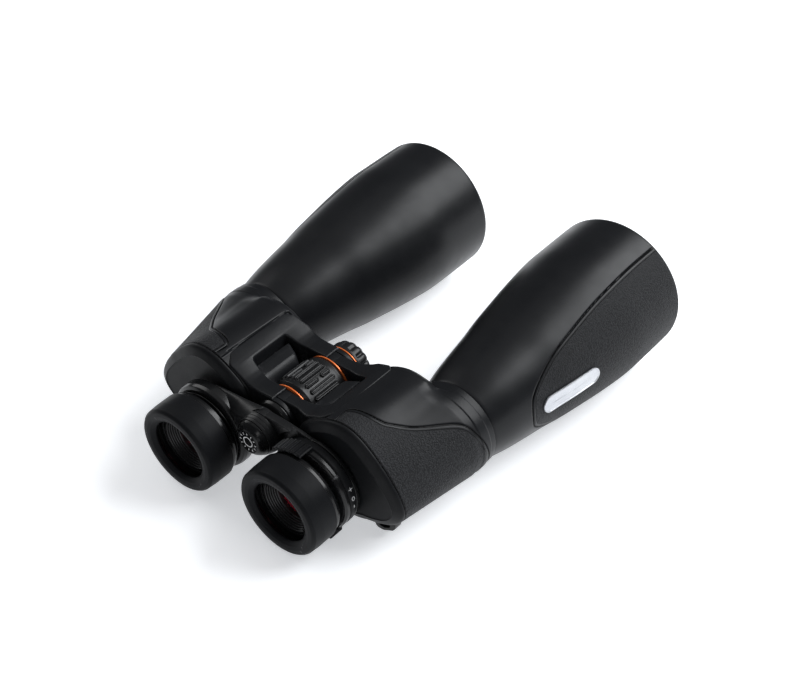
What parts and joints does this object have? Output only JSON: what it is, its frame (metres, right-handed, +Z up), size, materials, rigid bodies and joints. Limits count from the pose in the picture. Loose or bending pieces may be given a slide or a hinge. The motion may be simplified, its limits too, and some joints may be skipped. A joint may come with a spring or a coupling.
{
  "type": "binoculars",
  "caption": "Large astronomy binoculars with Porro prism housings, tapering objective barrels, twist-up eyecups, central focus wheel, dioptre ring and a folding centre hinge.",
  "frame": {"origin": "centre of the bounding box's bottom: the table plane that the barrels and the strap lugs rest on", "axes": "+Y forward from the eyepieces to the objectives, +X to the user's right, +Z up from the table; the instrument lies nose-up by 3.07 degrees"},
  "size_m": [0.2104, 0.2454, 0.0821],
  "materials": {
    "rubber_armour": "satin smooth rubber armour over a cast shell",
    "stippled_rubber": "matte finely stippled grip rubber",
    "eyecup_rubber": "soft satin rubber",
    "gloss_black": "polished black moulding",
    "anodised_black": "black anodised aluminium, semi-gloss",
    "steel": "turned steel",
    "brass": "turned brass",
    "orange_ring": "bright orange anodised ring",
    "silver_plate": "satin silver blank plate",
    "optical_glass": "coated optical glass"
  },
  "bodies": {
    "left_half": {"left_prism_housing": "rubber_armour", "left_rear_cover": "rubber_armour", "left_housing_grip": "stippled_rubber", "left_eyepiece_guide": "anodised_black", "left_porro_prism_rear": "optical_glass", "left_porro_prism_front": "optical_glass", "left_prism_shelf": "anodised_black", "left_objective_tube": "rubber_armour", "left_barrel_grip": "stippled_rubber", "left_objective_crown_lens": "optical_glass", "left_objective_flint_lens": "optical_glass", "left_lens_retainer": "anodised_black", "left_strap_lug": "gloss_black", "hinge_axle": "steel", "hinge_tension_nut": "gloss_black", "tripod_bushing": "brass"},
    "right_half": {"right_prism_housing": "rubber_armour", "right_rear_cover": "rubber_armour", "right_housing_grip": "stippled_rubber", "right_eyepiece_guide": "anodised_black", "right_porro_prism_rear": "optical_glass", "right_porro_prism_front": "optical_glass", "right_prism_shelf": "anodised_black", "right_objective_tube": "rubber_armour", "right_barrel_grip": "stippled_rubber", "right_objective_crown_lens": "optical_glass", "right_objective_flint_lens": "optical_glass", "right_lens_retainer": "anodised_black", "right_strap_lug": "gloss_black", "right_name_plate": "silver_plate"},
    "focus_wheel": {"focus_wheel": "anodised_black", "focus_wheel_ring_front": "orange_ring", "focus_wheel_ring_rear": "orange_ring", "focus_drive_nut": "brass"},
    "bridge": {"bridge_left_arm": "anodised_black", "bridge_hub_cap": "gloss_black", "focus_rod": "steel", "focus_drive_pin": "steel", "left_eyepiece_body": "anodised_black", "left_eye_lens": "optical_glass", "left_field_lens": "optical_glass"},
    "bridge_right": {"bridge_right_arm": "anodised_black"},
    "diopter_ring": {"diopter_ring": "gloss_black"},
    "right_eyepiece": {"right_eyepiece_body": "anodised_black", "right_eye_lens": "optical_glass", "right_field_lens": "optical_glass"},
    "left_eyecup_sleeve": {"left_eyecup_sleeve": "gloss_black"},
    "left_eyecup": {"left_eyecup": "eyecup_rubber"},
    "right_eyecup_sleeve": {"right_eyecup_sleeve": "gloss_black"},
    "right_eyecup": {"right_eyecup": "eyecup_rubber"},
    "tripod_cap_ring": {"tripod_cap_ring": "orange_ring"},
    "tripod_cap": {"tripod_cap": "anodised_black"}
  },
  "joints": [
    {"name": "ipd_hinge", "type": "hinge", "parent": "left_half", "child": "right_half", "pos_m": [0, -0.12217, 0.03816], "axis": [0, 0.9986, 0.0536], "range_deg": [-15, 37]},
    {"name": "focus_wheel_turn", "type": "hinge", "parent": "left_half", "child": "focus_wheel", "pos_m": [0, -0.12217, 0.03816], "axis": [0, 0.9986, 0.0536], "range_deg": [-460, 29]},
    {"name": "bridge_slide", "type": "slide", "parent": "left_half", "child": "bridge", "axis": [0, 0.9986, 0.0536], "range_m": [-0.00802, 0.0005]},
    {"name": "bridge_right_fold", "type": "hinge", "parent": "bridge", "child": "bridge_right", "pos_m": [0, -0.12217, 0.03816], "axis": [0, 0.9986, 0.0536], "range_deg": [-15, 37]},
    {"name": "diopter_turn", "type": "hinge", "parent": "bridge_right", "child": "diopter_ring", "pos_m": [0.0342, -0.12144, 0.02453], "axis": [0, 0.9986, 0.0536], "range_deg": [-10, 45]},
    {"name": "right_eyepiece_slide", "type": "slide", "parent": "bridge_right", "child": "right_eyepiece", "axis": [0, 0.9986, 0.0536], "range_m": [-0.00195, 0.0004]},
    {"name": "left_eyecup_twist", "type": "hinge", "parent": "bridge", "child": "left_eyecup_sleeve", "pos_m": [-0.0342, -0.12144, 0.02453], "axis": [0, -0.9986, -0.0536], "range_deg": [-35, 75]},
    {"name": "left_eyecup_extend", "type": "slide", "parent": "left_eyecup_sleeve", "child": "left_eyecup", "axis": [0, -0.9986, -0.0536], "range_m": [-0.00232, 0.00498]},
    {"name": "right_eyecup_twist", "type": "hinge", "parent": "right_eyepiece", "child": "right_eyecup_sleeve", "pos_m": [0.0342, -0.12144, 0.02453], "axis": [0, -0.9986, -0.0536], "range_deg": [-35, 75]},
    {"name": "right_eyecup_extend", "type": "slide", "parent": "right_eyecup_sleeve", "child": "right_eyecup", "axis": [0, -0.9986, -0.0536], "range_m": [-0.00232, 0.00498]},
    {"name": "tripod_cap_travel", "type": "slide", "parent": "left_half", "child": "tripod_cap_ring", "axis": [0, 0.9986, 0.0536], "range_m": [0, 0.0076]},
    {"name": "tripod_cap_turn", "type": "hinge", "parent": "tripod_cap_ring", "child": "tripod_cap", "pos_m": [0, -0.12217, 0.03816], "axis": [0, 0.9986, 0.0536], "range_deg": [0, 2160]}
  ],
  "couplings": [
    {"joint": "focus_wheel_turn", "follows": "bridge_slide", "rad_per_m": 1000},
    {"joint": "bridge_right_fold", "follows": "ipd_hinge", "ratio": 1},
    {"joint": "diopter_turn", "follows": "right_eyepiece_slide", "rad_per_m": -400},
    {"joint": "left_eyecup_twist", "follows": "left_eyecup_extend", "rad_per_m": 261.78},
    {"joint": "right_eyecup_twist", "follows": "right_eyecup_extend", "rad_per_m": 261.78},
    {"joint": "tripod_cap_turn", "follows": "tripod_cap_travel", "rad_per_m": 4948}
  ]
}
